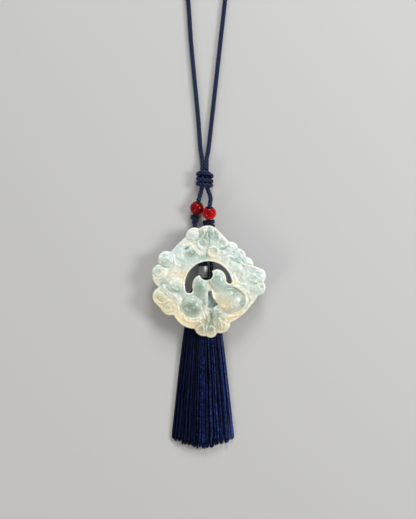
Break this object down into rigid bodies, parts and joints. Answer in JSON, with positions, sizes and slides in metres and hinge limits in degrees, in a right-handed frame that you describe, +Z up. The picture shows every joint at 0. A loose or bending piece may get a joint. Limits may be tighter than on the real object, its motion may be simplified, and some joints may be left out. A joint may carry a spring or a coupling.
{
  "type": "jade bag charm",
  "caption": "Carved jade plaque with an arched slot and gourds, on a knotted cord loop with two red beads, over a long thread tassel.",
  "frame": {"origin": "on the surface that the charm lies on, under the middle of its plaque, beads, knots and tassel without the cord", "axes": "+Z up out of the plaque's carved face, +Y from the tassel towards the hanging loop, +X to the plaque's right as seen from above"},
  "size_m": [0.049, 0.2233, 0.0117],
  "materials": {
    "jade": "polished, milky and translucent",
    "cord": "braided",
    "tassel": "silky thread",
    "bead": "polished, translucent",
    "sleeve": "satin"
  },
  "bodies": {
    "root": {"jade_plaque": "jade", "wrap_knot": "cord", "left_bead": "bead", "right_bead": "bead", "left_stopper_knot": "cord", "right_stopper_knot": "cord", "tassel_sleeve": "sleeve", "tassel": "tassel", "sleeve_tie": "cord", "hanging_cord": "cord"}
  },
  "joints": []
}
